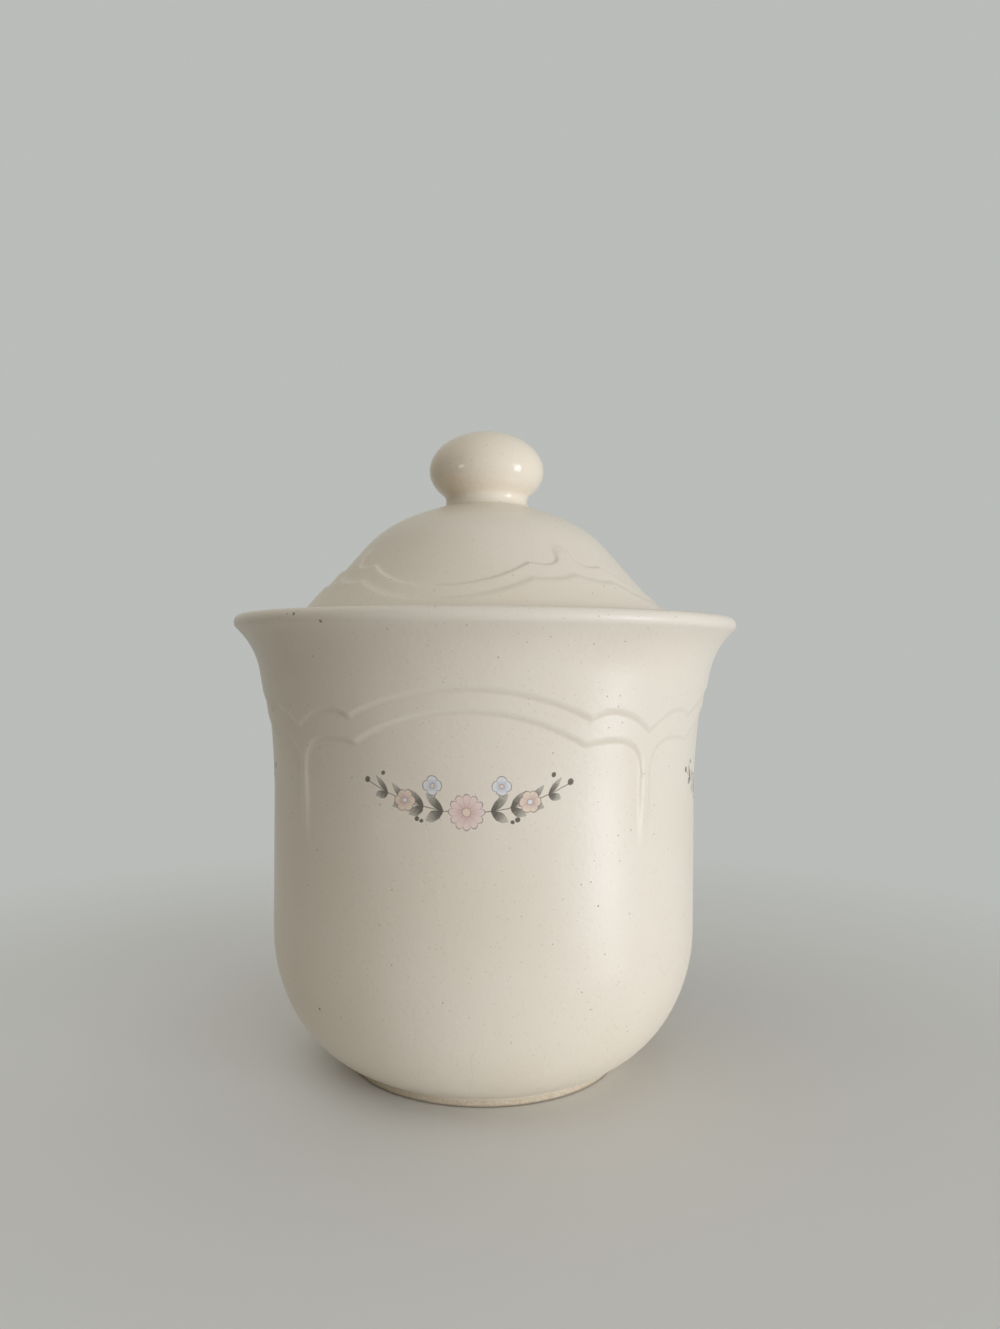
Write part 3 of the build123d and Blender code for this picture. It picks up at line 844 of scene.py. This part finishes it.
# Painted light: the knob's colour is made paler so that it reads brighter; only its lower roughness
# is the glaze's own.
colour = knob.paint(colour, KNOB_PAINTED_LIGHT, "MULTIPLY")
rough = rough - knob * KNOB_SMOOTHER
wire(lid_shader, Base_Color=colour, Roughness=rough, Normal=bumped(place, height, GLAZE_DEPTH))
lid = finish("lid_cast", lid_mesh, lid_glaze)
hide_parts("lid")
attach(lid, "lid")

# Stage. A plain pale floor fades out into a plain pale background. A broad soft lamp stands at the
# front right, a lamp like a window at the right, a weak one at the left and a wide one overhead.
# The camera stands at the height of the jar's mouth. Places are in metres, angles in degrees.
PALE = (0.49, 0.505, 0.485, 1)
DIM = (1.0, 0.84, 0.64, 1)
DIM_STRENGTH = 0.12
FLOOR_PAINT = (0.84, 0.84, 0.82, 1)
FLOOR_RADIUS = 0.5
FLOOR_FADE = (0.44, 0.09)
LAMP_AIM = Vector((0, 0, 0.13))
CAMERA_AWAY = 0.3653
CAMERA_HEIGHT = 0.1418
CAMERA_SIDE = 4.0
CAMERA_YAW = -0.83
CAMERA_PITCH = -0.13
CAMERA_ROLL = 0.35
CAMERA_LENS = 27.09
CAMERA_SENSOR = 36.0
CAMERA_NEAREST = 0.02

floor_mesh = bmesh.new()
bmesh.ops.create_circle(floor_mesh, cap_ends=True, radius=FLOOR_RADIUS * 1000, segments=96)
floor_paint, floor_shader, place = new_material("floor_paint")
far = place.node("ShaderNodeVectorMath", {"operation": "LENGTH"}, {0: place}, out="Value")
wire(floor_shader, Base_Color=FLOOR_PAINT, Roughness=0.6, Specular_IOR_Level=0.2)
wire(floor_shader, Alpha=far.ease(*FLOOR_FADE))
floor = finish("floor", floor_mesh, floor_paint)
floor.visible_shadow = False

world = bpy.data.worlds.new("studio")
bpy.context.scene.world = world
world.use_nodes = True
air = Shade(world.node_tree)
seen = air.node("ShaderNodeLightPath", {}, {}, out="Is Camera Ray")
for kind in ("Is Glossy Ray", "Is Transmission Ray"):
    seen = seen.math("MAXIMUM", air.node("ShaderNodeLightPath", {}, {}, out=kind))
dim = air.node("ShaderNodeBackground", {}, {"Color": DIM, "Strength": DIM_STRENGTH})
pale = air.node("ShaderNodeBackground", {}, {"Color": PALE})
backdrop = air.node("ShaderNodeMixShader", {}, {0: seen, 1: dim, 2: pale})
world.node_tree.links.new(backdrop.socket, world.node_tree.nodes["World Output"].inputs[0])


def lamp(name, azimuth, height, away, width, tall, watts, colour, mirrored=True):
    """A soft rectangular lamp that faces the canister, at an azimuth to the right of the camera."""
    light = bpy.data.lights.new(name, "AREA")
    light.shape = "RECTANGLE"
    light.size, light.size_y = width, tall
    light.energy = watts
    light.color = colour
    lit = bpy.data.objects.new(name, light)
    lit.visible_glossy = mirrored
    turn = radians(azimuth + CAMERA_SIDE)
    lit.location = (away * sin(turn), -away * cos(turn), height)
    lit.rotation_euler = (LAMP_AIM - lit.location).to_track_quat("-Z", "Y").to_euler()
    bpy.context.scene.collection.objects.link(lit)


lamp(
    "soft_light", azimuth=41, height=0.20, away=1.5, width=1.1, tall=0.5, watts=12.6,
    colour=(0.96, 1.01, 1.10), mirrored=False,
)
lamp(
    "window", azimuth=63.5, height=-0.02, away=1.6, width=0.46, tall=0.70, watts=7.2,
    colour=(0.95, 1.01, 1.11),
)
lamp(
    "far_window", azimuth=-50, height=0.0, away=1.8, width=0.14, tall=0.25, watts=1.0,
    colour=(1.0, 1.0, 1.0),
)
lamp(
    "ceiling", azimuth=-110, height=1.5, away=0.4, width=2.4, tall=2.4, watts=13.8,
    colour=(0.97, 1.0, 0.99), mirrored=False,
)

camera = bpy.data.objects.new("camera", bpy.data.cameras.new("camera"))
camera.data.lens = CAMERA_LENS
camera.data.sensor_width = CAMERA_SENSOR
camera.data.clip_start = CAMERA_NEAREST
side = radians(CAMERA_SIDE)
camera.matrix_world = (
    Matrix.Translation((CAMERA_AWAY * sin(side), -CAMERA_AWAY * cos(side), CAMERA_HEIGHT))
    @ Matrix.Rotation(radians(CAMERA_SIDE + CAMERA_YAW), 4, "Z")
    @ Matrix.Rotation(radians(90 + CAMERA_PITCH), 4, "X")
    @ Matrix.Rotation(radians(CAMERA_ROLL), 4, "Z")
)
bpy.context.scene.collection.objects.link(camera)
bpy.context.scene.camera = camera
bpy.context.scene.view_settings.view_transform = "Standard"
